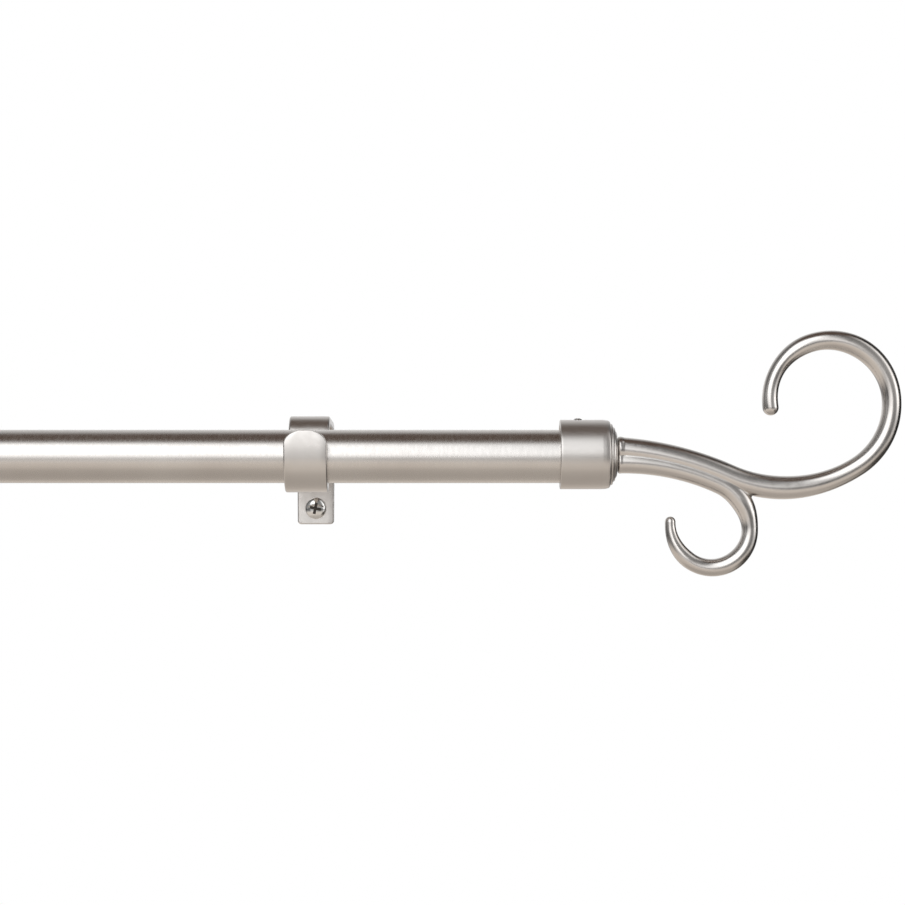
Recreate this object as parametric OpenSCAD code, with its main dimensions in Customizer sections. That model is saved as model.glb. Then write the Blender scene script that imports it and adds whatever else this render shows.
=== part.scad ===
// Telescoping curtain rod with two wall brackets and two scroll finials.
// Units are millimetres. +X runs along the rod, +Y into the wall, +Z up.
// The origin is where the right bracket's screw meets the wall.

/* [Rod] */
// Outside diameter of the outer tube
outer_d = 19; // [18:0.5:19]
// Outside diameter of the inner tube
inner_d = 16; // [14:0.5:16]
// Wall thickness of both tubes
tube_wall = 1; // [0.8:0.1:1.2]
// Length between the far ends of the two tubes when the rod is closed
closed_length = 711; // [600:1:900]
// Length of inner tube that shows when the rod is closed
inner_showing = 25; // [10:1:60]

/* [Brackets] */
// Distance from the wall to the rod's axis
projection = 60; // [50:1:80]
// Distance from each finial's rim to the middle of the bracket beside it
bracket_inset = 90; // [60:1:150]
// Thickness of the bracket's strap
strap_t = 3; // [2.5:0.1:3.5]
// Width of the strap at the front of the cup
cup_w = 15.4; // [14:0.1:18]
// Width of the strap at the wall
plate_w = 13.7; // [12:0.1:15]
// Height of the cup's front tip above the rod's axis
tip_h = 9.4; // [7:0.1:12]
// Distance from the rod's axis down to the wall screw
screw_drop = 19.7; // [18:0.1:24]
// Distance from the rod's axis down to the plate's lower edge
plate_drop = 25.8; // [25:0.1:30]

/* [Wall screws] */
// Diameter of the pan head
wall_head_d = 8; // [7:0.1:9]
// Diameter of the thread
thread_d = 4.2; // [3.5:0.1:4.5]
// Length of screw that goes into the wall, with its point
thread_len = 32; // [25:1:50]

/* [Finials] */
// Outside diameter of the finial's cap
cap_d = 24.7; // [24:0.1:26]
// Diameter of the cap's bore
cap_bore_d = 20.6; // [20.2:0.1:20.8]
// Depth of the cap's bore
cap_bore_depth = 16; // [15:0.5:17]
// Length of tube inside the cap
tube_in_cap = 14; // [12:0.5:14]
// Diameter of the scroll's bars where they leave the cap
bar_d = 8.4; // [7.6:0.1:8.6]

/* [Hidden] */
$fn = 96;
touch = 0.01;                                     // overlap that joins pieces of one solid

// Where things are along the rod
right_rim = bracket_inset;
left_rim = bracket_inset - (closed_length - 2 * tube_in_cap);
outer_right = right_rim + tube_in_cap;
inner_left = left_rim - tube_in_cap;
outer_left = left_rim + inner_showing;
inner_right = inner_left + outer_right - outer_left;
left_bracket_x = left_rim + bracket_inset;
rod_y = -projection;
rod_z = screw_drop;

// The tubes and the plastic pieces between them
outer_bore_d = outer_d - 2 * tube_wall;
inner_bore_d = inner_d - 2 * tube_wall;
running_gap = 0.05;
mouth_flange_len = 2.5;
mouth_body_len = 10;
bush_collar_len = 8;
bush_spigot_len = 12;
bush_bore_d = 6;
end_sleeve_show = 1;

// The bracket's strap, drawn from the rod's axis with the wall to the right
cup_gap = 0.3;
cup_in_r = outer_d / 2 + cup_gap;
cup_out_r = cup_in_r + strap_t;
rear_leg_h = 5.2;
front_bend_r = 6.4;                               // inside of the bend above the cup
rear_bend_r = 7;                                  // inside of the bend at the wall
top_fall = 3;                                     // degrees that the top falls towards the wall
front_bend_y = cup_in_r + strap_t + front_bend_r;
rear_bend_y = projection - strap_t - rear_bend_r;
bend_mid_change = rear_bend_r - front_bend_r;
top_len = (rear_bend_y - front_bend_y + bend_mid_change * sin(top_fall)) / cos(top_fall);
rear_bend_z = rear_leg_h - top_len * sin(top_fall) - bend_mid_change * cos(top_fall);
tip_round_h = 5;                                  // height over which the tip rounds to a point
plate_corner_r = 1.4;
bend_steps = 12;
wide = cup_w + 2;
screw_hole_d = 4.6;

// The wall screw
wall_head_h = 2.6;
neck_d = thread_d - 1;
point_len = 5;
recess_w = 0.9;
recess_len = 4.4;
recess_depth = 1.4;

// The finial, drawn from the cap's rim outwards along +X
cap_lift = 0.7;                                   // how far the clamped cap sits above the rod's axis
cap_end_r = 10.5;
cap_face_r = 6.8;
cap_len = 20.3;
cap_crown = 1.9;                                  // how far the end face bulges
cap_corner_r = 1.5;
ring_groove = 0.3;
set_screw_x = 6.4;
set_screw_d = 3.4;
set_screw_hole_d = 3.6;
set_screw_proud = 0.7;
set_screw_gap = 0.1;                              // clearance between the set screw and the tube
bolt_d = 5;
bolt_hole_d = 5.4;
bolt_head_d = 8.5;
bolt_head_h = 3.3;
bolt_in_scroll = 10;
washer_d = 10;
washer_t = 1;
scroll_gap = 0.3;                                 // gap between the cap's end and the scroll's foot

// The scroll's two bars as chains of tangent arcs in the XZ plane, each arc being
// [radius, degrees, bar radius at its end], with a negative radius for a bend to the right.
bar_r = bar_d / 2;
large_start = [0.75, 2, -3.7];                    // x, z and heading in degrees
large_arcs = [[-114, 20.3, bar_r], [48.5, 18, bar_r], [48.5, 38.5, 3.5], [26.4, 64, 3.5],
              [22.2, 50, 3.75], [22.2, 50.6, 3.3], [20.7, 50, 2.7], [20.7, 31.7, 2.8]];
small_start = [0.65, -2.55, 0.8];
small_arcs = [[-83, 25.7, 3.9], [-18.1, 65.6, 2.95], [-13.6, 60, 3.2], [-13.6, 65.7, 3],
              [-16.4, 55.5, 1.9]];
bar_sides = 20;
ring_step = 2.6;                                  // greatest distance between two rings of a bar
tip_rings = 4;
foot_round = 0.6;

NICKEL = [0.72, 0.68, 0.64];
CAST = [0.68, 0.65, 0.62];
BRIGHT = [0.82, 0.81, 0.80];
NYLON = [0.35, 0.35, 0.36];

// ---------- arcs and swept bars ----------

// State [x, z, heading] part of the way, t from 0 to 1, along an arc that starts at state s
function along_arc(s, arc, t) =
    let (side = sign(arc[0]), r = abs(arc[0]), h = s[2] + side * arc[1] * t)
    [s[0] + side * r * (sin(h) - sin(s[2])), s[1] - side * r * (cos(h) - cos(s[2])), h];

// State at the start of each arc of a chain
function arc_starts(start, arcs) =
    [for (i = 0, s = start; i < len(arcs); s = along_arc(s, arcs[i], 1), i = i + 1) s];

function eased(a, b, t) = a + (b - a) * t * t * (3 - 2 * t);

// Rings [x, z, heading, radius] along a chain of arcs
function chain_rings(start, arcs) =
    let (starts = arc_starts(start, arcs))
    [for (i = [0 : len(arcs) - 1])
        let (n = ceil(abs(arcs[i][0]) * arcs[i][1] * PI / 180 / ring_step),
             from_r = i == 0 ? bar_r : arcs[i - 1][2])
        for (j = [(i == 0 ? 0 : 1) : n])
            let (s = along_arc(starts[i], arcs[i], j / n))
            [s[0], s[1], s[2], eased(from_r, arcs[i][2], j / n)]];

function ahead(ring, step, r) =
    [ring[0] + step * cos(ring[2]), ring[1] + step * sin(ring[2]), ring[2], r];

// The same rings with a chamfered foot in front and a half ball behind
function closed_rings(rings) =
    let (first = rings[0], last = rings[len(rings) - 1])
    concat([ahead(first, -foot_round, first[3] - foot_round)], rings,
           [for (k = [1 : tip_rings])
               let (a = 90 * k / (tip_rings + 0.6))
               ahead(last, last[3] * sin(a), last[3] * cos(a))]);

module swept_bar(start, arcs) {
    rings = closed_rings(chain_rings(start, arcs));
    n = bar_sides;
    count = len(rings);
    points = [for (ring = rings) for (k = [0 : n - 1])
        let (a = 360 * k / n, side = ring[3] * cos(a))
        [ring[0] - side * sin(ring[2]), ring[3] * sin(a), ring[1] + side * cos(ring[2])]];
    walls = [for (i = [0 : count - 2]) for (k = [0 : n - 1])
        let (a = i * n + k, b = i * n + (k + 1) % n)
        each [[a, b, b + n], [a, b + n, a + n]]];
    ends = [[for (k = [n - 1 : -1 : 0]) k], [for (k = [0 : n - 1]) (count - 1) * n + k]];
    polyhedron(points, concat(walls, ends), convexity = 6);
}

// ---------- placing ----------

module at_rod() translate([0, rod_y, rod_z]) children();

module along_x(x) translate([x, 0, 0]) rotate([0, 90, 0]) children();

module at_right_finial() translate([right_rim, rod_y, rod_z]) children();

module at_left_finial() translate([left_rim, rod_y, rod_z]) rotate([0, 0, 180]) children();

// ---------- brackets ----------

// Points round a bend of the strap's side view
function bend_points(centre, r, from_a, to_a) =
    [for (i = [0 : bend_steps])
        let (a = from_a + (to_a - from_a) * i / bend_steps)
        centre + r * [cos(a), sin(a)]];

// The strap's side view behind the cup: up, over and down the wall
module neck_side() {
    front = [front_bend_y, rear_leg_h];
    rear = [rear_bend_y, rear_bend_z];
    top_a = 90 - top_fall;
    polygon(concat(
        [[cup_in_r, 0]],
        bend_points(front, front_bend_r + strap_t, 180, top_a),
        bend_points(rear, rear_bend_r + strap_t, top_a, 0),
        [[projection, -plate_drop], [projection - strap_t, -plate_drop]],
        bend_points(rear, rear_bend_r, 0, top_a),
        bend_points(front, front_bend_r, top_a, 180),
        [[cup_out_r, 0]]));
}

// The whole strap at full width: x towards the wall and y up, both from the rod's axis
module wide_strap() {
    translate([0, 0, -wide / 2]) {
        translate([-cup_out_r, 0, 0]) cube([strap_t, tip_h, wide]);
        rotate(180) rotate_extrude(angle = 180) translate([cup_in_r, 0]) square([strap_t, wide]);
        linear_extrude(wide) neck_side();
    }
}

// The strap's outline from above, narrowing towards the wall
module strap_plan() {
    front = -projection - cup_out_r - 1;
    polygon([[-cup_w / 2, front], [cup_w / 2, front], [plate_w / 2, 1], [-plate_w / 2, 1]]);
}

// What the tip's rounding and the plate's rounded corners take off
module bracket_trim() {
    tip_r = (pow(cup_w / 2, 2) + pow(tip_round_h, 2)) / (2 * tip_round_h);
    translate([0, -projection - cup_in_r + 1, screw_drop + tip_h - tip_round_h]) rotate([90, 0, 0])
        linear_extrude(strap_t + 3) difference() {
            translate([-cup_w, 0]) square([2 * cup_w, 2 * tip_round_h]);
            translate([0, tip_round_h - tip_r]) circle(tip_r);
        }
    for (side = [-1, 1])
        translate([side * plate_w / 2, 1, screw_drop - plate_drop]) rotate([90, 0, 0])
            linear_extrude(strap_t + 3) difference() {
                square(2 * plate_corner_r, center = true);
                translate([-side * plate_corner_r, plate_corner_r]) circle(plate_corner_r);
            }
}

module bracket() {
    color(CAST) difference() {
        intersection() {
            at_rod() rotate([90, 0, 90]) wide_strap();
            translate([0, 0, -projection]) linear_extrude(3 * projection) strap_plan();
        }
        bracket_trim();
        translate([0, 1, 0]) rotate([90, 0, 0]) cylinder(d = screw_hole_d, h = strap_t + 2);
    }
}

module right_bracket() bracket();
module left_bracket() translate([left_bracket_x, 0, 0]) bracket();

module wall_screw() {
    dome_r = (pow(wall_head_d / 2, 2) + pow(wall_head_h, 2)) / (2 * wall_head_h);
    color(BRIGHT) translate([0, -strap_t, 0]) rotate([-90, 0, 0]) {
        difference() {
            intersection() {
                translate([0, 0, -wall_head_h]) cylinder(d = wall_head_d, h = wall_head_h);
                translate([0, 0, dome_r - wall_head_h]) sphere(dome_r);
            }
            for (a = [0, 90]) rotate(a)
                translate([-recess_len / 2, -recess_w / 2, -wall_head_h - 1])
                    cube([recess_len, recess_w, recess_depth + 1]);
        }
        translate([0, 0, -touch]) cylinder(d = neck_d, h = strap_t + 2 * touch);
        translate([0, 0, strap_t]) cylinder(d = thread_d, h = thread_len - point_len);
        translate([0, 0, strap_t + thread_len - point_len])
            cylinder(d1 = thread_d, d2 = 0.4, h = point_len);
    }
}

module right_wall_screw() wall_screw();
module left_wall_screw() translate([left_bracket_x, 0, 0]) wall_screw();

// ---------- rod ----------

module tube(x, length, d, bore_d) {
    at_rod() along_x(x) difference() {
        cylinder(d = d, h = length);
        translate([0, 0, -1]) cylinder(d = bore_d, h = length + 2);
    }
}

module outer_tube() color(NICKEL)
    tube(outer_left, outer_right - outer_left, outer_d, outer_bore_d);

module inner_tube() color(NICKEL)
    tube(inner_left, inner_right - inner_left, inner_d, inner_bore_d);

// Plastic ring in the outer tube's open end, which the inner tube slides through
module mouth_ring() color(NYLON) at_rod() difference() {
    union() {
        along_x(outer_left - mouth_flange_len) cylinder(d = outer_d, h = mouth_flange_len);
        along_x(outer_left - touch) cylinder(d = outer_bore_d, h = mouth_body_len + touch);
    }
    along_x(outer_left - mouth_flange_len - 1)
        cylinder(d = inner_d + 2 * running_gap, h = mouth_flange_len + mouth_body_len + 2);
}

// Plastic plug on the inner tube's hidden end, which slides in the outer tube's bore
module slide_bush() color(NYLON) at_rod() difference() {
    union() {
        along_x(inner_right) cylinder(d = outer_bore_d - 2 * running_gap, h = bush_collar_len);
        along_x(inner_right - bush_spigot_len)
            cylinder(d = inner_bore_d, h = bush_spigot_len + touch);
    }
    along_x(inner_right - bush_spigot_len - 1)
        cylinder(d = bush_bore_d, h = bush_spigot_len + bush_collar_len + 2);
}

// Plastic sleeve that brings the inner tube's end up to the outer tube's size for the finial
module end_sleeve() color(NYLON)
    tube(inner_left, tube_in_cap + end_sleeve_show, outer_d, inner_d);

// ---------- finials ----------

module finial_cap() color(NICKEL) translate([0, 0, cap_lift]) difference() {
    rotate([0, 90, 0]) rotate_extrude() difference() {
        union() {
            square([cap_d / 2, cap_len - cap_crown - cap_corner_r]);
            square([cap_end_r + 0.15, cap_len - cap_crown]);
            translate([cap_end_r - 0.15, cap_len - cap_crown - cap_corner_r])
                intersection() {
                    circle(cap_d / 2 - cap_end_r + 0.15);
                    square(cap_d / 2);
                }
            polygon([[0, cap_len - cap_crown], [cap_end_r, cap_len - cap_crown],
                     [cap_face_r, cap_len], [0, cap_len]]);
        }
        for (r = [cap_end_r - 0.7, cap_face_r + 0.9])
            translate([r, cap_len - cap_crown * (r - cap_face_r) / (cap_end_r - cap_face_r)])
                circle(ring_groove);
    }
    along_x(-1) cylinder(d = cap_bore_d, h = cap_bore_depth + 1);
    along_x(0) cylinder(d = bolt_hole_d, h = cap_len + 1);
    translate([set_screw_x, 0, 0]) cylinder(d = set_screw_hole_d, h = cap_d);
}

module finial_scroll() color(NICKEL)
    translate([cap_len + scroll_gap + foot_round - large_start[0], 0, cap_lift]) difference() {
        union() {
            swept_bar(large_start, large_arcs);
            swept_bar(small_start, small_arcs);
        }
        along_x(-1) cylinder(d = bolt_d, h = bolt_in_scroll + 1);
    }

module finial_bolt() color(BRIGHT) translate([cap_bore_depth - washer_t, 0, cap_lift]) {
    difference() {
        along_x(-bolt_head_h) cylinder(d = bolt_head_d, h = bolt_head_h);
        for (a = [0, 90]) rotate([a, 0, 0])
            translate([-bolt_head_h - 1, -recess_len / 2, -recess_w / 2])
                cube([recess_depth + 1, recess_len, recess_w]);
    }
    along_x(-touch) cylinder(d = bolt_d, h = washer_t + cap_len - cap_bore_depth + bolt_in_scroll);
}

module finial_washer() color(BRIGHT) translate([cap_bore_depth - washer_t, 0, cap_lift])
    along_x(0) difference() {
        cylinder(d = washer_d, h = washer_t);
        translate([0, 0, -1]) cylinder(d = bolt_hole_d, h = washer_t + 2);
    }

module set_screw() {
    foot_z = outer_d / 2 + set_screw_gap;
    top_z = cap_lift + cap_d / 2 + set_screw_proud;
    color(BRIGHT) translate([set_screw_x, 0, 0]) difference() {
        intersection() {
            translate([0, 0, foot_z]) cylinder(d = set_screw_d, h = top_z - foot_z);
            translate([0, 0, top_z - set_screw_d * 0.7]) sphere(set_screw_d * 0.7);
        }
        for (a = [0, 90]) rotate(a)
            translate([-0.9, -0.25, top_z - 0.6]) cube([1.8, 0.5, 1]);
    }
}

module right_finial_cap() at_right_finial() finial_cap();
module right_finial_scroll() at_right_finial() finial_scroll();
module right_finial_bolt() at_right_finial() finial_bolt();
module right_finial_washer() at_right_finial() finial_washer();
module right_set_screw() at_right_finial() set_screw();
module left_finial_cap() at_left_finial() finial_cap();
module left_finial_scroll() at_left_finial() finial_scroll();
module left_finial_bolt() at_left_finial() finial_bolt();
module left_finial_washer() at_left_finial() finial_washer();
module left_set_screw() at_left_finial() set_screw();

right_bracket();
left_bracket();
right_wall_screw();
left_wall_screw();
outer_tube();
mouth_ring();
inner_tube();
slide_bush();
end_sleeve();
right_finial_cap();
right_finial_scroll();
right_finial_bolt();
right_finial_washer();
right_set_screw();
left_finial_cap();
left_finial_scroll();
left_finial_bolt();
left_finial_washer();
left_set_screw();
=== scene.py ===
"""A telescoping curtain rod in two strap brackets, with a scroll finial on each end.

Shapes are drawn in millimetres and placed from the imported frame, which is in metres.
"""
import math

import bmesh
import bpy
import numpy as np
from mathutils import Matrix, Vector


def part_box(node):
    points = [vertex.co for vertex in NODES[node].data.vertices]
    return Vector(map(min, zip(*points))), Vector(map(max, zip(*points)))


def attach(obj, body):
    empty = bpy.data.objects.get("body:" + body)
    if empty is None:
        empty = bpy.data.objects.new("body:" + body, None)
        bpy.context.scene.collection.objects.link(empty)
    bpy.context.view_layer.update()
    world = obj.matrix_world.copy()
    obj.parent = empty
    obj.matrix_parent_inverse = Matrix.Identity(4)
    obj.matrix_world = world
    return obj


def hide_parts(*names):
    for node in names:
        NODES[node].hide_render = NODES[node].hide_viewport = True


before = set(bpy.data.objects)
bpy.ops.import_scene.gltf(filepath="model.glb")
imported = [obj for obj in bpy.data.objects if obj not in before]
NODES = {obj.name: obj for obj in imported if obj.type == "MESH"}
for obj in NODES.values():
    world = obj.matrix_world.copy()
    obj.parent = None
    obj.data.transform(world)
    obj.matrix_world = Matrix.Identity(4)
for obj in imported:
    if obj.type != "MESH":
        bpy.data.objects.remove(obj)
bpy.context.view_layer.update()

MM = 0.001

# ---------- where things are, from the frame ----------


def middle(node):
    low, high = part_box(node)
    return (low + high) / 2


def size_mm(node):
    low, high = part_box(node)
    return (high - low) / MM


def ends_mm(node):
    """Where a node starts and stops along X, in millimetres."""
    low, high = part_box(node)
    return low.x / MM, high.x / MM


ROD = middle("outer_tube")
CAP_AXIS_Z = middle("right_finial_cap").z
OUTER_R = size_mm("outer_tube").z / 2
INNER_R = size_mm("inner_tube").z / 2
TUBE_WALL = 1.0


# ---------- mesh helpers ----------


def add_piece(name, points_mm, faces, body, material, smooth_angle=40):
    """A mesh from points in millimetres of the row frame, riding on a body if one is given."""
    mesh = bpy.data.meshes.new(name)
    mesh.from_pydata([tuple(float(c) * MM for c in p) for p in points_mm], [], faces)
    mesh.validate()
    work = bmesh.new()
    work.from_mesh(mesh)
    bmesh.ops.recalc_face_normals(work, faces=work.faces)
    work.to_mesh(mesh)
    work.free()
    mesh.shade_smooth()
    mesh.set_sharp_from_angle(angle=math.radians(smooth_angle))
    piece = bpy.data.objects.new(name, mesh)
    bpy.context.scene.collection.objects.link(piece)
    mesh.materials.append(material)
    if body is not None:
        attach(piece, body)
    return piece


def apply_modifier(piece, kind, **settings):
    """Adds one modifier and puts its result in the mesh."""
    modifier = piece.modifiers.new(kind, kind)
    for key, value in settings.items():
        setattr(modifier, key, value)
    graph = bpy.context.evaluated_depsgraph_get()
    result = bpy.data.meshes.new_from_object(piece.evaluated_get(graph))
    piece.modifiers.remove(modifier)
    old = piece.data
    piece.data = result
    bpy.data.meshes.remove(old)


def cut(piece, cutter, smooth_angle):
    """Takes the cutter out of the piece and deletes it; the cut faces keep its material."""
    apply_modifier(piece, "BOOLEAN", operation="DIFFERENCE", object=cutter, solver="EXACT",
                   material_mode="TRANSFER")
    bpy.data.objects.remove(cutter)
    piece.data.shade_smooth()
    piece.data.set_sharp_from_angle(angle=math.radians(smooth_angle))


def rounded(corners, radii, steps=6):
    """An outline with each corner turned into an arc of its own radius."""
    count = len(corners)
    points = []
    for i, (corner, radius) in enumerate(zip(corners, radii)):
        here = Vector(corner)
        if radius <= 0:
            points.append(tuple(here))
            continue
        before = (Vector(corners[i - 1]) - here).normalized()
        after = (Vector(corners[(i + 1) % count]) - here).normalized()
        half = before.angle(after) / 2
        centre = here + (before + after).normalized() * (radius / math.sin(half))
        start = here + before * (radius / math.tan(half)) - centre
        end = here + after * (radius / math.tan(half)) - centre
        swing = start.angle_signed(end)
        for k in range(steps + 1):
            turned = start.copy()
            turned.rotate(Matrix.Rotation(-swing * k / steps, 2))
            points.append(tuple(centre + turned))
    return points


def circle(sides):
    """The angles of a ring's points, in radians."""
    return [2 * math.pi * k / sides for k in range(sides)]


def quarter(steps):
    """Angles from just above 0 up to a right angle, in radians."""
    return [math.pi / 2 * k / steps for k in range(1, steps + 1)]


def revolved(profile, sides):
    """Points and faces of a closed (x, r) profile turned about the X axis."""
    on_axis = 1e-6
    points = [(x, r * math.cos(a), r * math.sin(a)) for a in circle(sides) for x, r in profile]
    count = len(profile)
    faces = []
    for k in range(sides):
        here, there = k * count, (k + 1) % sides * count
        for i in range(count):
            j = (i + 1) % count
            if profile[i][1] < on_axis and profile[j][1] < on_axis:
                continue
            faces.append((here + i, here + j, there + j, there + i))
    return points, faces


def ring_mesh(rings, close_ends=True):
    """Points and faces that join a row of rings with the same number of points."""
    count = len(rings[0])
    points = [p for ring in rings for p in ring]
    faces = [(i * count + k, i * count + (k + 1) % count,
              (i + 1) * count + (k + 1) % count, (i + 1) * count + k)
             for i in range(len(rings) - 1) for k in range(count)]
    if close_ends:
        faces.append(tuple(range(count - 1, -1, -1)))
        faces.append(tuple((len(rings) - 1) * count + k for k in range(count)))
    return points, faces


def moved(points, matrix):
    return [tuple(matrix @ Vector(p)) for p in points]


# ---------- materials ----------

# Noise scales are per metre of the row frame, and bump depths are in metres.
NOISE_LOW, NOISE_HIGH = 0.3, 0.7
CLOUD_SCALE = 45
BRUSH_SCALE = 400
WEAR_SCALE = 900
NICKEL_BUMP, STEEL_BUMP, NYLON_BUMP = 0.00004, 0.00003, 0.00002
NICKEL_TINTS = (0.66, 0.62, 0.585), (0.71, 0.675, 0.64)
STEEL_TINTS = (0.74, 0.725, 0.70), (0.84, 0.825, 0.805)
# near-black steel for the screws' cross recesses: painted shade, darker than the steel itself
RECESS_SHADE_TINTS = (0.022, 0.018, 0.015), (0.05, 0.045, 0.04)
NYLON_TINTS = (0.085, 0.085, 0.09), (0.11, 0.11, 0.115)
FLOOR_TINTS = (0.93, 0.927, 0.923), (0.955, 0.953, 0.95)


class Tree:
    """Short calls for building a node tree."""

    def __init__(self, tree):
        self.tree = tree

    def add(self, kind, **settings):
        node = self.tree.nodes.new(kind)
        for key, value in settings.items():
            setattr(node, key, value)
        return node

    def link(self, source, target):
        self.tree.links.new(source, target)


class Surface(Tree):
    """One material's node tree, in the piece's own coordinates."""

    def __init__(self, name):
        self.material = bpy.data.materials.new(name)
        self.material.use_nodes = True
        super().__init__(self.material.node_tree)
        self.shader = self.tree.nodes["Principled BSDF"]
        self.place = self.add("ShaderNodeTexCoord").outputs["Object"]

    def noise(self, scale, stretch=(1, 1, 1), detail=3.0, rough=0.5):
        mapping = self.add("ShaderNodeMapping")
        mapping.inputs["Scale"].default_value = stretch
        self.link(self.place, mapping.inputs["Vector"])
        texture = self.add("ShaderNodeTexNoise")
        texture.inputs["Scale"].default_value = scale
        texture.inputs["Detail"].default_value = detail
        texture.inputs["Roughness"].default_value = rough
        self.link(mapping.outputs["Vector"], texture.inputs["Vector"])
        return texture.outputs["Fac"]

    def spread(self, value, low, high):
        """A noise value, which stays near the middle of its range, spread from low to high."""
        node = self.add("ShaderNodeMapRange")
        node.inputs["From Min"].default_value = NOISE_LOW
        node.inputs["From Max"].default_value = NOISE_HIGH
        node.inputs["To Min"].default_value = low
        node.inputs["To Max"].default_value = high
        self.link(value, node.inputs["Value"])
        return node.outputs["Result"]

    def tint(self, value, dark, light):
        """Base colour from dark to light as the value goes from 0 to 1."""
        node = self.add("ShaderNodeMix", data_type="RGBA")
        node.inputs["A"].default_value = (*dark, 1)
        node.inputs["B"].default_value = (*light, 1)
        self.link(value, node.inputs["Factor"])
        self.link(node.outputs["Result"], self.shader.inputs["Base Color"])

    def bump(self, heights, strength, depth):
        """Bumps one on another, each from its own height."""
        normal = None
        for height in heights:
            node = self.add("ShaderNodeBump")
            node.inputs["Strength"].default_value = strength
            node.inputs["Distance"].default_value = depth
            self.link(height, node.inputs["Height"])
            if normal is not None:
                self.link(normal, node.inputs["Normal"])
            normal = node.outputs["Normal"]
        self.link(normal, self.shader.inputs["Normal"])


def satin_nickel(name, roughness, brush, grain, grain_scale=2500):
    """Plated metal with a fine grain, and brush lines that are finer along a stretched axis."""
    n = Surface(name)
    n.shader.inputs["Metallic"].default_value = 1
    broad = n.noise(CLOUD_SCALE, detail=2)
    lines = n.noise(BRUSH_SCALE, stretch=brush, detail=4, rough=0.6)
    fine = n.noise(grain_scale, detail=2)
    n.tint(n.spread(broad, 0, 1), *NICKEL_TINTS)
    mixed = n.add("ShaderNodeMath", operation="ADD")
    n.link(n.spread(lines, -0.035, 0.045), mixed.inputs[0])
    n.link(n.spread(broad, roughness - 0.01, roughness + 0.015), mixed.inputs[1])
    n.link(mixed.outputs[0], n.shader.inputs["Roughness"])
    n.bump([lines, fine], grain, NICKEL_BUMP)
    return n.material


def bright_steel(name, tints):
    n = Surface(name)
    n.shader.inputs["Metallic"].default_value = 1
    wear = n.noise(WEAR_SCALE, detail=4)
    n.tint(n.spread(wear, 0, 1), *tints)
    n.link(n.spread(wear, 0.08, 0.16), n.shader.inputs["Roughness"])
    n.bump([wear], 0.03, STEEL_BUMP)
    return n.material


def nylon(name):
    n = Surface(name)
    cloud = n.noise(220, detail=2)
    grain = n.noise(5000, detail=2)
    n.tint(n.spread(cloud, 0, 1), *NYLON_TINTS)
    n.link(n.spread(grain, 0.42, 0.56), n.shader.inputs["Roughness"])
    n.bump([grain], 0.15, NYLON_BUMP)
    return n.material


TUBE = satin_nickel("tube_nickel", 0.27, (3, 1, 1), 0.012)
CAP = satin_nickel("cap_nickel", 0.34, (1, 6, 6), 0.04)
SCROLL = satin_nickel("scroll_nickel", 0.215, (1, 1, 1), 0.03, 2200)
CAST = satin_nickel("bracket_nickel", 0.3, (1, 1, 1), 0.035, 2600)
BRIGHT = bright_steel("bright_steel", STEEL_TINTS)
# a dark copy of the bright steel: painted shade for the faces inside the screws' recesses
PAINTED_SHADE_STEEL = bright_steel("recess_painted_shade", RECESS_SHADE_TINTS)
NYLON = nylon("grey_nylon")

# ---------- rod ----------

TUBE_SIDES, SLEEVE_SIDES = 160, 128
RIM_R = 0.35
RING_FROM_END = 2.0
SLIDE_GAP = 0.05


def on_rod(node, body, material, profile, sides):
    """A turned piece on the rod's axis, in place of its CAD node."""
    points, faces = revolved(profile, sides)
    place = Matrix.Translation((0, ROD.y / MM, ROD.z / MM))
    piece = add_piece(node + "_skin", moved(points, place), faces, body, material)
    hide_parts(node)


def tube_piece(node, body, radius):
    """A tube with softly rounded rims."""
    x0, x1 = ends_mm(node)
    bore = radius - TUBE_WALL
    # the extra rings near the ends keep the long faces' shading straight
    profile = rounded(
        [(x0, bore), (x0, radius), (x0 + RING_FROM_END, radius), (x1 - RING_FROM_END, radius),
         (x1, radius), (x1, bore), (x1 - RING_FROM_END, bore), (x0 + RING_FROM_END, bore)],
        [RIM_R, RIM_R, 0, 0, RIM_R, RIM_R, 0, 0])
    on_rod(node, body, TUBE, profile, TUBE_SIDES)


def mouth_ring_piece():
    """A flanged ring, pushed into the outer tube's open end."""
    x0, x1 = ends_mm("mouth_ring")
    flange = ends_mm("outer_tube")[0]
    bore = INNER_R + SLIDE_GAP
    profile = rounded(
        [(x0, bore), (x0, OUTER_R), (flange, OUTER_R), (flange, OUTER_R - TUBE_WALL),
         (x1, OUTER_R - TUBE_WALL), (x1, bore)],
        [0.3, 0.8, 0, 0, 0.2, 0.1])
    on_rod("mouth_ring", "outer_rod", NYLON, profile, SLEEVE_SIDES)


def end_sleeve_piece():
    """The sleeve that brings the inner tube's end up to the cap's bore."""
    x0, x1 = ends_mm("end_sleeve")
    profile = rounded([(x0, INNER_R), (x0, OUTER_R), (x1, OUTER_R), (x1, INNER_R)],
                      [0.1, 0.3, 0.6, 0.1])
    on_rod("end_sleeve", "inner_rod", NYLON, profile, SLEEVE_SIDES)


# ---------- brackets ----------

STRAP_T = 3.0
PLATE_W = 13.7
# the strap's middle line, from the cup's tip to the plate's foot
CUP_GAP = 0.3
CUP_MID_R = OUTER_R + CUP_GAP + STRAP_T / 2
TIP_H = 9.4
REAR_LEG_H = 5.2
TOP_FALL = 3.0
FRONT_BEND_R = 6.4 + STRAP_T / 2
REAR_BEND_R = 7.0 + STRAP_T / 2
PLATE_DROP = 25.8
STATION_GAP = 0.5
# edges and ends
STRAP_EDGE_R = 0.75
OUTER_EDGE_SHARE = 0.7
STRAP_END_R = 0.4
TIP_ROUND_LEN = 5.0
FOOT_CORNER_R = 1.4
TIP_ZONE, FOOT_ZONE = 4.8, 1.8
LEAST_HALF = 0.05
CORNER_STEPS, FACE_PARTS = 5, 6
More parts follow.
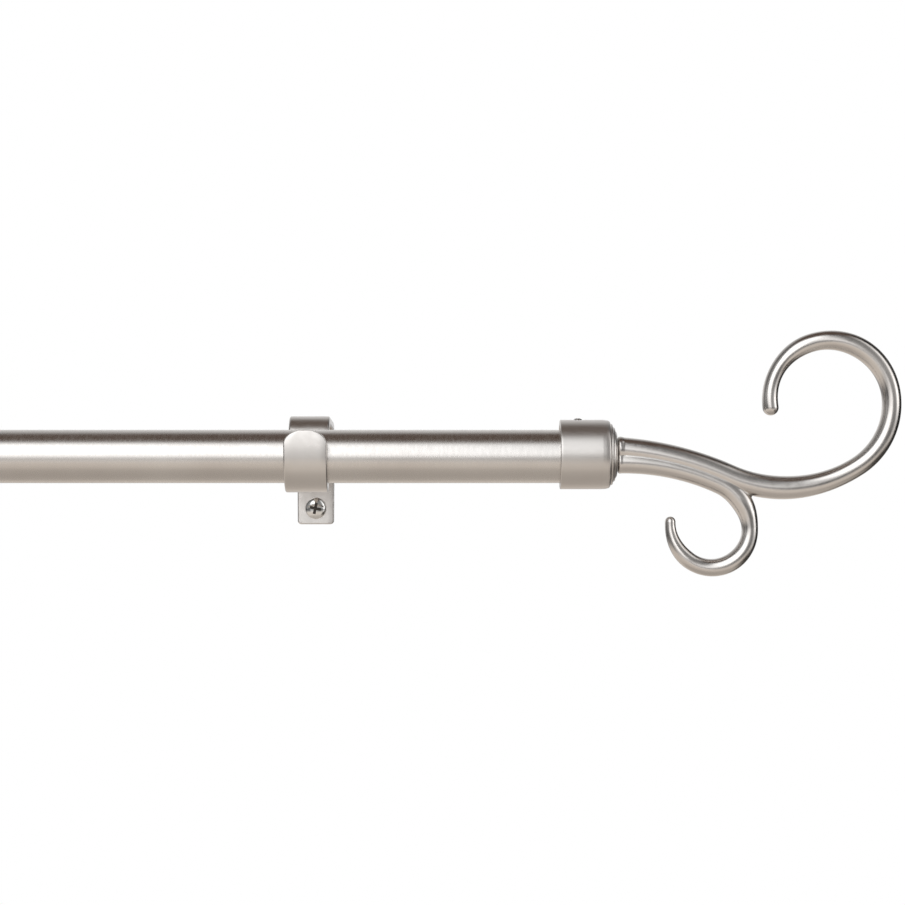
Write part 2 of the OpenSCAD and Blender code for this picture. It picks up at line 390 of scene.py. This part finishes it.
# how the cup's outer face stands out in front of the rod
LEG_BULGE_R = 48
LEG_SWELL = 0.35
SWELL_REACH = 8.0
SCREW_HOLE_R, SCREW_HOLE_SIDES = 2.3, 64
STRAP_SMOOTH = 50


def walk(start, heading, steps, gap):
    """Stations (distance, y, z, heading) along runs (length,) and bends (radius, degrees left)."""
    y, z, turn, gone = start[0], start[1], math.radians(heading), 0.0
    out = [(gone, y, z, turn)]
    for step in steps:
        if len(step) == 1:
            count = max(1, round(step[0] / gap))
            for _ in range(count):
                part = step[0] / count
                y, z, gone = y + part * math.cos(turn), z + part * math.sin(turn), gone + part
                out.append((gone, y, z, turn))
        else:
            radius, sweep = step[0], math.radians(step[1])
            count = max(2, round(radius * abs(sweep) / gap))
            side = math.copysign(1, sweep)
            for _ in range(count):
                after = turn + sweep / count
                y += side * radius * (math.sin(after) - math.sin(turn))
                z -= side * radius * (math.cos(after) - math.cos(turn))
                turn, gone = after, gone + radius * abs(sweep) / count
                out.append((gone, y, z, turn))
    return out


def strap_path(projection):
    """The strap's middle line from the cup's tip to the plate's foot, from the rod's axis."""
    fall = math.radians(TOP_FALL)
    front_y = CUP_MID_R + FRONT_BEND_R
    rear_y = projection - STRAP_T / 2 - REAR_BEND_R
    change = REAR_BEND_R - FRONT_BEND_R
    top = (rear_y - front_y + change * math.sin(fall)) / math.cos(fall)
    rear_z = REAR_LEG_H - top * math.sin(fall) - change * math.cos(fall)
    return walk((-CUP_MID_R, TIP_H), -90, [
        (TIP_H,), (CUP_MID_R, 180), (REAR_LEG_H,), (FRONT_BEND_R, -(90 + TOP_FALL)), (top,),
        (REAR_BEND_R, -(90 - TOP_FALL)), (rear_z + PLATE_DROP,)], STATION_GAP)


def strap_stops(path):
    """Distances along the strap to put a section at, closer together where its ends round off."""
    length = path[-1][0]
    from_tip = [0.02, 0.06, 0.12, 0.2, 0.3, 0.4, 0.55, 0.75, 1.0, 1.3, 1.6,
                2.0, 2.5, 3.0, 3.5, 4.0, 4.5]
    from_foot = [length - stop for stop in from_tip if stop < FOOT_ZONE]
    between = [station[0] for station in path if TIP_ZONE < station[0] < length - FOOT_ZONE]
    return sorted({0.0, length, *from_tip, *from_foot, *between})


def quarter_round(distance, reach):
    """How far an edge rounded over a reach has risen, 0 to 1, at a distance from its start."""
    t = min(max(distance / reach, 0), 1)
    return math.sqrt(1 - (1 - t) ** 2)


def front_swell(height):
    """How far the cup's outer face stands out, by height in mm above the rod's axis."""
    if height < 0:
        return LEG_SWELL * max(0.0, 1 + height / SWELL_REACH) ** 2
    return LEG_SWELL * (1 + 2 * height / SWELL_REACH) - height ** 2 / (2 * LEG_BULGE_R)


def strap_section(half, thick, swell):
    """The strap's outline (across, inward), with extra points over its two broad faces."""
    edge = min(STRAP_EDGE_R, half * 0.98, thick * 0.8)
    face = -thick - swell
    outline = rounded([(-half, face), (half, face), (half, thick), (-half, thick)],
                      [edge * OUTER_EDGE_SHARE] * 2 + [edge] * 2, CORNER_STEPS)
    section = []
    for i, here in enumerate(outline):
        section.append(here)
        corner, step = divmod(i, CORNER_STEPS + 1)
        if step == CORNER_STEPS and corner in (0, 2):
            there = Vector(outline[i + 1])
            section += [tuple(Vector(here).lerp(there, k / FACE_PARTS))
                        for k in range(1, FACE_PARTS)]
    return section


def strap_rings(path, centre_x, cup_half):
    """The strap's sections in the row frame; both ends round off in width and thickness."""
    length = path[-1][0]
    table = np.array(path)
    rings = []
    for gone in strap_stops(path):
        y, z, turn = (np.interp(gone, table[:, 0], table[:, c]) for c in (1, 2, 3))
        left = length - gone
        half = cup_half + (PLATE_W / 2 - cup_half) * (gone / length)
        half *= quarter_round(gone, TIP_ROUND_LEN)
        half -= FOOT_CORNER_R * (1 - quarter_round(left, FOOT_CORNER_R))
        half = max(half, LEAST_HALF)
        thick = STRAP_T / 2
        for gap in (gone, left):
            thick -= STRAP_END_R * (1 - quarter_round(gap, STRAP_END_R))
        swell = front_swell(TIP_H - gone) * (thick / (STRAP_T / 2))
        nx, nz = -math.sin(turn), math.cos(turn)
        rings.append([(centre_x + across, ROD.y / MM + y + nx * up, ROD.z / MM + z + nz * up)
                      for across, up in strap_section(half, thick, swell)])
    return rings


def cylinder_cutter(start, end, radius, sides):
    """A plain cylinder to cut a hole with, from point to point in millimetres."""
    axis = Vector(end) - Vector(start)
    turn = axis.to_track_quat("Z", "Y").to_matrix()
    rings = []
    for stop in (0, axis.length):
        rings.append([tuple(Vector(start) + turn @ Vector(
            (radius * math.cos(a), radius * math.sin(a), stop))) for a in circle(sides)])
    points, faces = ring_mesh(rings)
    return add_piece("hole_cutter", points, faces, None, CAST)


def bracket_piece(side):
    """One bent strap: round tip, cup, neck over the back, top bar and wall plate."""
    node = side + "_bracket"
    low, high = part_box(node)
    path = strap_path((high.y - ROD.y) / MM)
    rings = strap_rings(path, (low.x + high.x) / 2 / MM, size_mm(node).x / 2)
    points, faces = ring_mesh(rings)
    piece = add_piece(node + "_cast", points, faces, None, CAST, STRAP_SMOOTH)
    screw = middle(side + "_wall_screw")
    hole = cylinder_cutter((screw.x / MM, -STRAP_T - 1, screw.z / MM),
                           (screw.x / MM, 1, screw.z / MM), SCREW_HOLE_R, SCREW_HOLE_SIDES)
    cut(piece, hole, STRAP_SMOOTH)
    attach(piece, node)
    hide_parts(node)


# ---------- screws ----------

HEAD_H = 2.6
HEAD_EDGE_H = 0.45
HEAD_CORNER_R, NECK_CORNER_R = 0.15, 0.1
HEAD_SIDES, SET_SIDES = 96, 64
NECK_R = 1.95
CROSS_LEAN = 12
THREAD_CORE_R, THREAD_R = 1.45, 2.1
THREAD_PITCH = 1.6
THREAD_OVERLAP = 0.3
RIDGE_HALF = 0.3
POINT_LEN = 5.0
POINT_SHARE = 0.06
SET_DOME_H = 1.1
SET_CHAMFER = 0.3
# cross recesses: (reach, half an arm's width, depth, how far the cutter stands out)
WALL_RECESS = (1.95, 0.5, 1.9, 1.0)
SET_RECESS = (1.2, 0.28, 0.7, 0.5)
TURNED_SMOOTH = 35
THREAD_SMOOTH = 30


def cross_outline(reach, half_wide):
    """The twelve corners of a cross in the YZ plane."""
    arm = [(reach, half_wide), (half_wide, half_wide), (half_wide, reach)]
    corners = []
    for turns in range(4):
        for y, z in arm:
            for _ in range(turns):
                y, z = -z, y
            corners.append((y, z))
    return corners


def cut_recess(piece, place, recess):
    """Sinks a cross recess that narrows as it goes in, from x = 0 in the place given; its faces get
    the dark steel, painted shade.
    """
    reach, half_wide, depth, top = recess
    # (x, share of the reach, share of the width)
    steps = [(-top, 1.1, 1.1), (0, 1.0, 1.0), (depth * 0.6, 0.72, 0.85), (depth, 0.3, 0.7)]
    rings = [[(x, y, z) for y, z in cross_outline(reach * a, half_wide * b)]
             for x, a, b in steps]
    points, faces = ring_mesh(rings)
    # the cutter's near-black steel goes onto the recess faces as painted shade
    cutter = add_piece("recess_cutter", moved(points, place), faces, None, PAINTED_SHADE_STEEL)
    cut(piece, cutter, TURNED_SMOOTH)


def thread_mesh(x0, x1, sides=40, per_turn=14):
    """A threaded shank along X, with a pointed end."""
    count = int((x1 - x0) / THREAD_PITCH * per_turn)
    rings = []
    for i in range(count + 1):
        x = x0 + (x1 - x0) * i / count
        room = min(1.0, (x1 - x) / POINT_LEN)
        start = min(1.0, (x - x0) / THREAD_PITCH)
        ring = []
        for k, a in enumerate(circle(sides)):
            phase = (x / THREAD_PITCH - k / sides) % 1.0
            ridge = max(0.0, 1 - abs(phase - 0.5) / RIDGE_HALF)
            r = THREAD_CORE_R + (THREAD_R - THREAD_CORE_R) * ridge * start
            r *= max(room, POINT_SHARE)
            ring.append((x, r * math.cos(a), r * math.sin(a)))
        rings.append(ring)
    return ring_mesh(rings)


def wall_screw_piece(side):
    """A domed head with a threaded shank, drawn along +X and turned to run along +Y."""
    node = side + "_wall_screw"
    head_r = size_mm(node).x / 2
    dome = [(-HEAD_EDGE_H - (HEAD_H - HEAD_EDGE_H) * math.cos(a), head_r * math.sin(a))
            for a in quarter(18)]
    profile = [(-HEAD_H, 0)] + dome[:-1] + rounded(
        [(-HEAD_EDGE_H, head_r), (0, head_r), (0, NECK_R), (STRAP_T, NECK_R), (STRAP_T, 0)],
        [HEAD_CORNER_R, HEAD_CORNER_R, NECK_CORNER_R, 0, 0], 4)
    points, faces = revolved(profile, HEAD_SIDES)
    under_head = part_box(node)[0].y / MM + HEAD_H
    turn = Matrix.Rotation(math.pi / 2, 4, "Z")
    lean = Matrix.Rotation(math.radians(CROSS_LEAN), 4, "X")
    place = Matrix.Translation((middle(node).x / MM, under_head, middle(node).z / MM)) @ turn @ lean
    head = add_piece(node + "_head", moved(points, place), faces, None, BRIGHT, TURNED_SMOOTH)
    cut_recess(head, place @ Matrix.Translation((-HEAD_H, 0, 0)), WALL_RECESS)
    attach(head, side + "_bracket")
    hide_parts(node)
    points, faces = thread_mesh(STRAP_T - THREAD_OVERLAP, size_mm(node).y - HEAD_H)
    add_piece(node + "_thread", moved(points, place), faces, side + "_bracket",
              BRIGHT, THREAD_SMOOTH)


def set_screw_piece(side):
    """A domed screw, drawn along +X from its dome's foot and turned to point down."""
    node = side + "_set_screw"
    radius = size_mm(node).x / 2
    foot = size_mm(node).z - SET_DOME_H
    dome = [(-SET_DOME_H * math.cos(a), radius * math.sin(a)) for a in quarter(10)]
    profile = [(-SET_DOME_H, 0)] + dome + [
        (foot - SET_CHAMFER, radius), (foot, radius - SET_CHAMFER), (foot, 0)]
    points, faces = revolved(profile, SET_SIDES)
    dome_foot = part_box(node)[1].z / MM - SET_DOME_H
    place = Matrix.Translation((middle(node).x / MM, middle(node).y / MM, dome_foot))
    place = place @ Matrix.Rotation(math.pi / 2, 4, "Y")
    piece = add_piece(node + "_skin", moved(points, place), faces, None, BRIGHT,
                      TURNED_SMOOTH)
    cut_recess(piece, place @ Matrix.Translation((-SET_DOME_H, 0, 0)), SET_RECESS)
    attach(piece, node)
    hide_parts(node)


# ---------- finials ----------

BAR_R = 4.2
# Each bar starts at (x, z, degrees above +X), from the scroll's foot and the cap's axis. Its arcs
# are (radius, degrees, bar radius at the end), and a negative radius bends it clockwise.
LARGE_START = (0.75, 2.0, -3.7)
LARGE_ARCS = [(-114, 20.3, BAR_R), (48.5, 18, BAR_R), (48.5, 38.5, 3.5), (26.4, 64, 3.5),
              (22.2, 50, 3.75), (22.2, 50.6, 3.3), (20.7, 50, 2.7), (20.7, 31.7, 2.9)]
SMALL_START = (0.65, -2.55, 0.8)
SMALL_ARCS = [(-83, 25.7, 3.9), (-18.1, 26, 3.95), (-18.1, 39.6, 2.95), (-13.6, 60, 3.2),
              (-13.6, 65.7, 3.0), (-16.4, 55.5, 1.9)]
LARGE_FLARE, SMALL_FLARE, FLARE_LEN = 0.24, 0.1, 0.8
FOOT_GAP = 0.3
FOOT_CUT = 0.6
FOOT_BLEND = 0.9
BAR_BLEND = 0.3
SCROLL_SMOOTH = 70
# the rough skin over the bars, and how its points then settle on their true surface
LINE_GAP = 0.4
ROUGH_SIDES = 24
SCROLL_VOXEL = 0.36
SETTLE_STEPS, SETTLE_SHARE = 6, 0.9
POINTS_AT_A_TIME = 4000

CAP_LEN = size_mm("right_finial_cap").x
CAP_R = size_mm("right_finial_cap").y / 2
CAP_BORE_R, CAP_BORE_DEPTH = 10.3, 16.0
BOLT_HOLE_R = 2.7
CAP_SCREW_HOLE_R, CAP_SCREW_HOLE_SIDES = 1.95, 48
CAP_SIDES = 160
CUTTER_ABOVE = 3
# (back from the end, radius, corner radius): shoulder, two beads, end face, bolt's hole
CAP_END = [
    (5.4, CAP_R, 8.0), (3.9, CAP_R - 0.1, 6.0), (2.7, CAP_R - 0.42, 0.9), (2.25, 10.85, 0.1),
    (2.1, 10.95, 0.15), (1.65, 10.75, 0.22), (1.5, 10.0, 0.1),
    (1.3, 9.75, 0.15), (0.8, 9.45, 0.22), (0.65, 8.7, 0.1),
    (0.1, 7.8, 0.3), (0, 7.2, 0.2), (0, BOLT_HOLE_R, 0.1)]


def bar_line(start, arcs, flare):
    """Points (x, z, radius) close together along a bar's middle line."""
    x, z, turn = start[0], start[1], math.radians(start[2])
    radius = BAR_R
    out = [(x, z, radius + flare)]
    for bend, sweep, end_radius in arcs:
        side, reach = math.copysign(1, bend), abs(bend)
        count = max(2, math.ceil(reach * math.radians(sweep) / LINE_GAP))
        from_radius = radius
        for k in range(1, count + 1):
            after = turn + side * math.radians(sweep) / count
            x += side * reach * (math.sin(after) - math.sin(turn))
            z -= side * reach * (math.cos(after) - math.cos(turn))
            turn = after
            t = k / count
            radius = from_radius + (end_radius - from_radius) * t * t * (3 - 2 * t)
            extra = flare * max(0.0, 1 - (x - start[0]) / FLARE_LEN) ** 2
            out.append((x, z, radius + extra))
    return np.array(out)


def bar_distance(points, line):
    """Distance from points to a bar's skin, and the direction straight away from it."""
    a, b = line[:-1], line[1:]
    best = np.full(len(points), 1e9)
    away = np.zeros((len(points), 3))
    step = b[:, :2] - a[:, :2]
    length2 = (step ** 2).sum(1)
    for first in range(0, len(points), POINTS_AT_A_TIME):
        chunk = slice(first, first + POINTS_AT_A_TIME)
        p = points[chunk]
        rel_x = p[:, 0:1] - a[None, :, 0]
        rel_z = p[:, 2:3] - a[None, :, 1]
        t = np.clip((rel_x * step[:, 0] + rel_z * step[:, 1]) / length2, 0, 1)
        dx, dz = rel_x - t * step[:, 0], rel_z - t * step[:, 1]
        centre = np.sqrt(dx ** 2 + dz ** 2 + p[:, 1:2] ** 2)
        gap = centre - (a[None, :, 2] + t * (b[:, 2] - a[:, 2]))
        pick = gap.argmin(1)
        rows = np.arange(len(p))
        best[chunk] = gap[rows, pick]
        away[chunk] = np.stack(
            [dx[rows, pick], p[:, 1], dz[rows, pick]], 1) / centre[rows, pick][:, None]
    return best, away


def soft_join(d1, n1, d2, n2, blend):
    """The union of two distances with a fillet of about the blend's size."""
    h = np.clip(0.5 + 0.5 * (d2 - d1) / blend, 0, 1)
    d = d2 + (d1 - d2) * h - blend * h * (1 - h)
    return d, n2 + (n1 - n2) * h[:, None]


def scroll_distance(points, large, small, foot_x):
    """Distance to the skin of both bars together, cut square at the foot with a round edge."""
    d, n = soft_join(*bar_distance(points, large), *bar_distance(points, small), BAR_BLEND)
    foot = foot_x - points[:, 0]
    back = np.tile([1.0, 0, 0], (len(points), 1))
    d, n = soft_join(-d, -n, -foot, back, FOOT_BLEND)
    return -d, -n


def bar_skin(line):
    """A rough closed skin over one bar, with a domed tip, for the remesh to start from."""
    tip = line[-1]
    run = line[-1] - line[-2]
    run = run / np.hypot(*run[:2])
    dome = [(tip[0] + tip[2] * math.sin(a) * run[0], tip[1] + tip[2] * math.sin(a) * run[1],
             tip[2] * math.cos(a)) for a in (0.35, 0.7, 1.0, 1.25, 1.45)]
    stations = np.vstack([line, dome])
    rings = []
    for i, (x, z, r) in enumerate(stations):
        ahead = stations[min(i + 1, len(stations) - 1)] - stations[max(i - 1, 0)]
        ahead = ahead[:2] / np.hypot(*ahead[:2])
        rings.append([(x - r * math.cos(a) * ahead[1], r * math.sin(a),
                       z + r * math.cos(a) * ahead[0]) for a in circle(ROUGH_SIDES)])
    return ring_mesh(rings)


def scroll_mesh():
    """The scroll's skin, in millimetres from its foot: two bars flowing into one."""
    lines = (bar_line(LARGE_START, LARGE_ARCS, LARGE_FLARE),
             bar_line(SMALL_START, SMALL_ARCS, SMALL_FLARE))
    (points, faces), (more_points, more_faces) = (bar_skin(line) for line in lines)
    faces = faces + [tuple(i + len(points) for i in f) for f in more_faces]
    rough = add_piece("rough_scroll", points + more_points, faces, None, SCROLL)
    apply_modifier(rough, "REMESH", mode="VOXEL", voxel_size=SCROLL_VOXEL * MM, adaptivity=0)
    mesh = rough.data
    skin = np.zeros(len(mesh.vertices) * 3)
    mesh.vertices.foreach_get("co", skin)
    skin = skin.reshape(-1, 3) / MM
    foot_x = LARGE_START[0] - FOOT_CUT
    # each bar is drawn on behind the foot's flat face, so that the face cuts it square
    lines = [np.vstack([line[:1] - np.r_[(line[1] - line[0])[:2] * 3, 0], line])
             for line in lines]
    for _ in range(SETTLE_STEPS):
        distance, away = scroll_distance(skin, *lines, foot_x)
        skin -= away * distance[:, None] * SETTLE_SHARE
    faces = [tuple(p.vertices) for p in mesh.polygons]
    bpy.data.objects.remove(rough)
    return skin, faces


def finial_place(side):
    """Row frame place, in millimetres, of a finial drawn along +X from its cap's rim."""
    low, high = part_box(side + "_finial_cap")
    rim = low.x if side == "right" else high.x
    turn = Matrix.Identity(4) if side == "right" else Matrix.Rotation(math.pi, 4, "Z")
    return Matrix.Translation(Vector((rim, ROD.y, CAP_AXIS_Z)) / MM) @ turn


def scroll_piece(side, skin, faces):
    shift = Matrix.Translation((CAP_LEN + FOOT_GAP + FOOT_CUT - LARGE_START[0], 0, 0))
    points = moved(skin, finial_place(side) @ shift)
    piece = add_piece(side + "_finial_scroll_skin", points, faces, side + "_scroll",
                      SCROLL, SCROLL_SMOOTH)
    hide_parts(side + "_finial_scroll")


def cap_piece(side):
    """A sleeve with a soft shoulder and two turned beads at its closed end."""
    # the extra rings 1 and 13 mm from the rim keep the long face's shading straight
    start = [(0, CAP_BORE_R, 0.25), (0, CAP_R, 0.3), (1.0, CAP_R, 0), (13.0, CAP_R, 0)]
    end = [(CAP_LEN - back, r, corner) for back, r, corner in CAP_END]
    inside = [(CAP_BORE_DEPTH, BOLT_HOLE_R, 0.1), (CAP_BORE_DEPTH, CAP_BORE_R, 0.4)]
    outline = start + end + inside
    profile = rounded([(x, r) for x, r, _ in outline], [corner for _, _, corner in outline], 5)
    points, faces = revolved(profile, CAP_SIDES)
    piece = add_piece(side + "_finial_cap_skin", moved(points, finial_place(side)), faces,
                      None, CAP, TURNED_SMOOTH)
    screw = middle(side + "_set_screw") / MM
    axis_z = CAP_AXIS_Z / MM
    hole = cylinder_cutter((screw.x, screw.y, axis_z),
                           (screw.x, screw.y, axis_z + CAP_R + CUTTER_ABOVE),
                           CAP_SCREW_HOLE_R, CAP_SCREW_HOLE_SIDES)
    cut(piece, hole, TURNED_SMOOTH)
    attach(piece, side + "_finial")
    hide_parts(side + "_finial_cap")


def dress(node, material):
    """Gives a node that keeps its CAD shape its material."""
    if not NODES[node].material_slots:
        NODES[node].data.materials.append(material)
    for slot in NODES[node].material_slots:
        slot.material = material


tube_piece("outer_tube", "outer_rod", OUTER_R)
tube_piece("inner_tube", "inner_rod", INNER_R)
mouth_ring_piece()
end_sleeve_piece()
scroll_skin, scroll_faces = scroll_mesh()
for side in ("right", "left"):
    bracket_piece(side)
    wall_screw_piece(side)
    cap_piece(side)
    scroll_piece(side, scroll_skin, scroll_faces)
    set_screw_piece(side)
    # what is inside the rod and the caps keeps its CAD shape
    dress(side + "_finial_bolt", BRIGHT)
    dress(side + "_finial_washer", BRIGHT)
dress("slide_bush", NYLON)

# ---------- studio ----------

# the floor, in metres
FLOOR_Z = -2.2
FLOOR_RINGS = (0.01, 1, 2, 3, 4, 6, 8, 10)
FLOOR_SIDES = 96
# What the metal reflects, as (angle in degrees, brightness). Turn is 0 ahead of the rod and
# + to the right; height is 0 level, 90 overhead.
HEIGHT_LIGHT = [(-90, 0.48), (-62, 0.52), (-42, 0.70), (-24, 0.76), (-16, 0.60), (-10, 0.32),
                (-5, 0.60), (0, 0.96), (5, 1.20), (24, 0.80), (60, 0.50)]
SIDE_LIGHT = [(-180, 1.1), (-158, 0.9), (-136, 0.75), (-118, 0.55), (-100, 0.2), (-80, 0.17),
              (-66, 0.5), (-54, 0.18), (-43, 0.28), (-31, 1.2), (-10, 1.5), (1, 1.45), (9, 0.42),
              (20, 0.34), (34, 0.33), (50, 0.55), (62, 1.7), (78, 1.9), (90, 0.06), (102, 0.0),
              (132, 0.0), (148, 0.5), (162, 0.9), (180, 1.1)]
# Windows in degrees are (start, full, fade, end), and rises are (start, full).
BOX_TURN = (-55, -34, 2, 7)
BOX_HEIGHT = (0, 12, 46, 66)
BOX_LIGHT = 1.95
RIGHT_LOW_SHADE = (44, 72, 140, 164)
RIGHT_LOW_DEPTH = 0.93
LOW_RISE = (-32, -8)
DOWN_RISE = (-62, -38)
CEILING_RISE = (52, 72)
WARM_LOW = (1.06, 0.98, 0.90)
LEVEL_TINT = (0.985, 0.99, 1.0)
BOX_TINT = (0.97, 1.0, 1.03)
CEILING_TINT = (0.085, 0.055, 0.040)


def floor():
    """A plain pale disc far below the rod, which the metal doesn't reflect."""
    rings = [[(radius * math.cos(a), radius * math.sin(a), FLOOR_Z) for a in circle(FLOOR_SIDES)]
             for radius in FLOOR_RINGS]
    points, faces = ring_mesh(rings, close_ends=False)
    n = Surface("pale_floor")
    n.shader.inputs["Roughness"].default_value = 0.9
    n.shader.inputs["Specular IOR Level"].default_value = 0.1
    cloud = n.noise(0.6, detail=2)
    n.tint(n.spread(cloud, 0, 1), *FLOOR_TINTS)
    mesh = bpy.data.meshes.new("floor")
    mesh.from_pydata(points, [], faces)
    mesh.materials.append(n.material)
    item = bpy.data.objects.new("floor", mesh)
    bpy.context.scene.collection.objects.link(item)
    item.visible_glossy = False


class Sky(Tree):
    """The studio's light as a function of direction; inputs are sockets or plain values."""

    def feed(self, socket, value):
        if isinstance(value, (int, float)):
            socket.default_value = value
        elif isinstance(value, tuple):
            socket.default_value = (*value, 1)
        else:
            self.link(value, socket)

    def maths(self, operation, *values):
        node = self.add("ShaderNodeMath", operation=operation)
        for socket, value in zip(node.inputs, values):
            self.feed(socket, value)
        return node.outputs[0]

    def rise(self, value, start, end):
        """From 0 to 1 as the value goes from start to end."""
        node = self.add("ShaderNodeMapRange", interpolation_type="SMOOTHSTEP")
        node.inputs["From Min"].default_value = start
        node.inputs["From Max"].default_value = end
        self.link(value, node.inputs["Value"])
        return node.outputs["Result"]

    def window(self, value, start, full, fade, end):
        fall = self.maths("SUBTRACT", 1, self.rise(value, fade, end))
        return self.maths("MULTIPLY", self.rise(value, start, full), fall)

    def between(self, first, second, share):
        """A number that goes from the first to the second as the share goes from 0 to 1."""
        gap = self.maths("SUBTRACT", second, first)
        return self.maths("ADD", first, self.maths("MULTIPLY", share, gap))

    def ramp(self, angle, stops, span):
        """Brightness at an angle, from stops spread over -span to span."""
        node = self.add("ShaderNodeValToRGB")
        share = self.maths("DIVIDE", self.maths("ADD", angle, span), 2 * span)
        self.link(share, node.inputs["Fac"])
        ramp = node.color_ramp
        ramp.interpolation = "EASE"
        ramp.elements.remove(ramp.elements[-1])
        for i, (stop_angle, grey) in enumerate(stops):
            place = (stop_angle + span) / (2 * span)
            stop = ramp.elements.new(place) if i else ramp.elements[0]
            # a stop holds no more than 1, so the ramp is drawn at half brightness
            stop.color = (grey / 2, grey / 2, grey / 2, 1)
        return self.maths("MULTIPLY", node.outputs["Color"], 2)

    def mix(self, factor, first, second):
        node = self.add("ShaderNodeMix", data_type="RGBA", clamp_result=False)
        for name, value in (("Factor", factor), ("A", first), ("B", second)):
            self.feed([s for s in node.inputs if s.name == name and s.enabled][0], value)
        return [s for s in node.outputs if s.enabled][0]

    def scaled(self, colour, amount):
        node = self.add("ShaderNodeVectorMath", operation="SCALE")
        self.link(colour, node.inputs[0])
        self.link(amount, node.inputs["Scale"])
        return node.outputs["Vector"]


def studio():
    """White to look at; in reflections a soft box ahead, a dark ceiling and darker sides."""
    world = bpy.data.worlds.new("studio")
    world.use_nodes = True
    bpy.context.scene.world = world
    n = Sky(world.node_tree)
    axes = n.add("ShaderNodeSeparateXYZ")
    n.link(n.add("ShaderNodeTexCoord").outputs["Generated"], axes.inputs[0])
    x, y, z = axes.outputs
    degrees = 180 / math.pi
    turn = n.maths("MULTIPLY", n.maths("ARCTAN2", x, n.maths("MULTIPLY", y, -1)), degrees)
    height = n.maths("MULTIPLY", n.maths("ARCSINE", z), degrees)

    sides = n.ramp(turn, SIDE_LIGHT, 180)
    shade = n.maths("MULTIPLY", n.window(turn, *RIGHT_LOW_SHADE), RIGHT_LOW_DEPTH)
    low_sides = n.maths("SUBTRACT", 1, shade)
    low = n.maths("SUBTRACT", 1, n.rise(height, *LOW_RISE))
    straight_down = n.maths("SUBTRACT", 1, n.rise(height, *DOWN_RISE))
    around = n.between(sides, low_sides, low)
    around = n.between(around, 1, straight_down)
    level = n.maths("MULTIPLY", around, n.ramp(height, HEIGHT_LIGHT, 90))
    colour = n.scaled(n.mix(low, LEVEL_TINT, WARM_LOW), level)
    box = n.maths("MULTIPLY", n.window(turn, *BOX_TURN), n.window(height, *BOX_HEIGHT))
    colour = n.mix(box, colour, tuple(BOX_LIGHT * c for c in BOX_TINT))
    colour = n.mix(n.rise(height, *CEILING_RISE), colour, CEILING_TINT)
    glossy = n.add("ShaderNodeLightPath").outputs["Is Glossy Ray"]
    back = n.tree.nodes["Background"]
    n.link(n.mix(glossy, (1.0, 1.0, 1.0), colour), back.inputs["Color"])


# the camera looks level and straight at the wall, as in the photo; places are in metres
LENS = 99.4
CAMERA_LEFT_OF_CAP = 0.0382
CAMERA_AHEAD = 0.890
CAMERA_ABOVE_ROD = 0.0014


def photo_camera():
    data = bpy.data.cameras.new("camera")
    data.lens = LENS
    data.sensor_width = 36
    data.clip_end = 60
    camera = bpy.data.objects.new("camera", data)
    bpy.context.scene.collection.objects.link(camera)
    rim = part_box("right_finial_cap")[0].x
    camera.location = (rim - CAMERA_LEFT_OF_CAP, ROD.y - CAMERA_AHEAD, ROD.z + CAMERA_ABOVE_ROD)
    camera.rotation_euler = (math.pi / 2, 0, 0)
    bpy.context.scene.camera = camera


photo_camera()
floor()
studio()
bpy.context.scene.view_settings.view_transform = "Standard"
